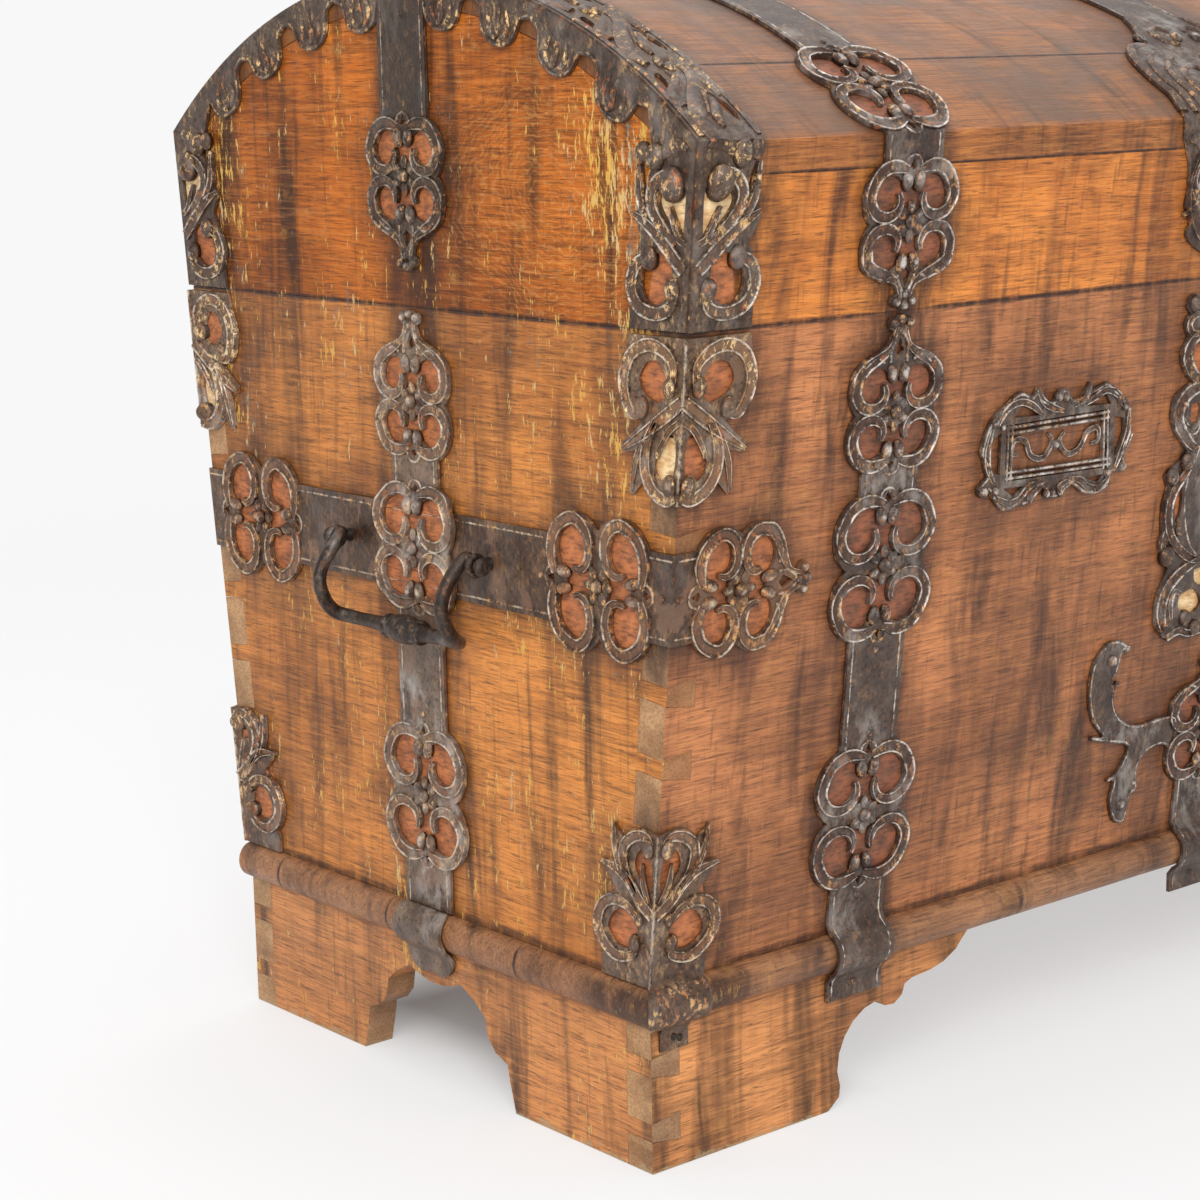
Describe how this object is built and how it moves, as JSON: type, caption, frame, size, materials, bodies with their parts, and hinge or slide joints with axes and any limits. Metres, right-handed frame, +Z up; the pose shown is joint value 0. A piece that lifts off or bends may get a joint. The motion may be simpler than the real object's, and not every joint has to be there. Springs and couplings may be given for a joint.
{
  "type": "storage chest",
  "caption": "Domed oak storage chest on bracket feet, dovetailed and leaning outwards, with pierced iron strapwork, drop handles, a box lock and a hinged lid.",
  "frame": {"origin": "middle of the chest's bounding box, on the floor", "axes": "+X along the chest to its right end as seen from the front, -Y to the front, +Z up"},
  "size_m": [1.3098, 0.6536, 0.8603],
  "materials": {
    "case_oak": "warm brown oiled oak, worn",
    "plinth_oak": "warm brown oak, scuffed",
    "moulding_oak": "dark rubbed oak",
    "lid_top_oak": "greyed brown oak",
    "inside_oak": "plain unfinished oak",
    "strap_iron": "blackened wrought iron, worn bright on the raised rims",
    "handle_iron": "rubbed wrought iron",
    "lock_iron": "plain dark iron"
  },
  "bodies": {
    "chest": {"front_board": "case_oak", "back_board": "case_oak", "left_end_board": "case_oak", "right_end_board": "case_oak", "plinth_bracket_left": "plinth_oak", "plinth_bracket_right": "plinth_oak", "plinth_back": "plinth_oak", "plinth_end_left": "plinth_oak", "plinth_end_right": "plinth_oak", "moulding_front": "moulding_oak", "moulding_left": "moulding_oak", "moulding_right": "moulding_oak", "bottom_board": "inside_oak", "front_strap_left": "strap_iron", "front_strap_middle": "strap_iron", "front_strap_right": "strap_iron", "lock_plate": "strap_iron", "framed_plate": "strap_iron", "end_strap_left": "strap_iron", "end_strap_right": "strap_iron", "waist_strap_left": "strap_iron", "waist_strap_right": "strap_iron", "corner_iron_top_front_left": "strap_iron", "corner_iron_top_front_right": "strap_iron", "corner_iron_top_back_left": "strap_iron", "corner_iron_top_back_right": "strap_iron", "corner_iron_foot_front_left": "strap_iron", "corner_iron_foot_front_right": "strap_iron", "corner_iron_foot_back_left": "strap_iron", "corner_iron_foot_back_right": "strap_iron", "hinge_strap_left": "strap_iron", "hinge_strap_right": "strap_iron", "hinge_pin_left": "strap_iron", "hinge_pin_right": "strap_iron", "handle_eye_left_front": "handle_iron", "handle_eye_left_back": "handle_iron", "handle_eye_right_front": "handle_iron", "handle_eye_right_back": "handle_iron", "lock_case": "lock_iron"},
    "lid": {"lid_front_board": "case_oak", "lid_back_board": "case_oak", "lid_left_end_board": "case_oak", "lid_right_end_board": "case_oak", "lid_dome_board_1": "lid_top_oak", "lid_dome_board_2": "lid_top_oak", "lid_dome_board_3": "lid_top_oak", "lid_dome_board_4": "lid_top_oak", "lid_dome_board_5": "lid_top_oak", "lid_strap_left": "strap_iron", "lid_strap_middle": "strap_iron", "lid_strap_right": "strap_iron", "lid_end_strap_left": "strap_iron", "lid_end_strap_right": "strap_iron", "lid_edge_iron_left": "strap_iron", "lid_edge_iron_right": "strap_iron", "lid_staple": "lock_iron"},
    "handle_left": {"bail_handle_left": "handle_iron"},
    "handle_right": {"bail_handle_right": "handle_iron"},
    "bolt": {"lock_bolt": "lock_iron"}
  },
  "joints": [
    {"name": "lid_hinge", "type": "hinge", "parent": "chest", "child": "lid", "pos_m": [0, 0.31784, 0.614], "axis": [-1, 0, 0], "range_deg": [0, 100]},
    {"name": "handle_left_pivot", "type": "hinge", "parent": "chest", "child": "handle_left", "pos_m": [-0.626, 0, 0.4295], "axis": [0, 1, 0], "range_deg": [0, 115]},
    {"name": "handle_right_pivot", "type": "hinge", "parent": "chest", "child": "handle_right", "pos_m": [0.626, 0, 0.4295], "axis": [0, -1, 0], "range_deg": [0, 115]},
    {"name": "lock_bolt_slide", "type": "slide", "parent": "chest", "child": "bolt", "axis": [1, 0, 0], "range_m": [0, 0.02]}
  ]
}
